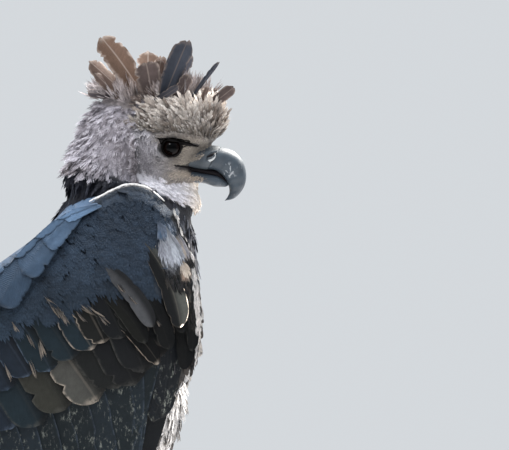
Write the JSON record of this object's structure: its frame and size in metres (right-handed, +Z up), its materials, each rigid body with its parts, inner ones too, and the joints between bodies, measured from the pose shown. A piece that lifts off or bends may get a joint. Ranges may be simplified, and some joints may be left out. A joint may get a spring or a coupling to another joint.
{
  "type": "harpy eagle",
  "caption": "Life-size standing harpy eagle with raised crest, hooked bill and loosely drooped wings, as a still display figure that rests on its own feet.",
  "frame": {"origin": "middle of the bird's bounding box at floor level, between the soles and the tail", "axes": "+X ahead, where the bill points; +Y to the bird's left; +Z up from the floor it stands on"},
  "size_m": [0.706, 0.2584, 0.6944],
  "materials": {
    "head_plumage": "soft ash grey feathers, paler on the face and throat",
    "black_plumage": "matt black-slate feathers",
    "slate_plumage": "slate feathers with a faint blue-grey sheen and paler edges",
    "thigh_plumage": "whitish feathers with narrow black bars",
    "bill_horn": "smooth dark slate horn",
    "cere_skin": "bare dark grey skin",
    "eye_surface": "wet, nearly black brown",
    "leg_scales": "dull yellow scaly skin",
    "claw_horn": "smooth black horn"
  },
  "bodies": {
    "root": {"head": "head_plumage", "cere": "cere_skin", "upper_bill": "bill_horn", "lower_bill": "bill_horn", "neck": "black_plumage", "torso": "slate_plumage", "tail": "slate_plumage", "eye_right": "eye_surface", "eye_left": "eye_surface", "wing_forearm_right": "slate_plumage", "wing_forearm_left": "slate_plumage", "wing_hand_right": "black_plumage", "wing_hand_left": "black_plumage", "thigh_right": "thigh_plumage", "thigh_left": "thigh_plumage", "tarsus_right": "leg_scales", "tarsus_left": "leg_scales", "foot_right": "leg_scales", "foot_left": "leg_scales", "claw_middle_right": "claw_horn", "claw_middle_left": "claw_horn", "claw_inner_right": "claw_horn", "claw_inner_left": "claw_horn", "claw_outer_right": "claw_horn", "claw_outer_left": "claw_horn", "claw_hind_right": "claw_horn", "claw_hind_left": "claw_horn"}
  },
  "joints": []
}
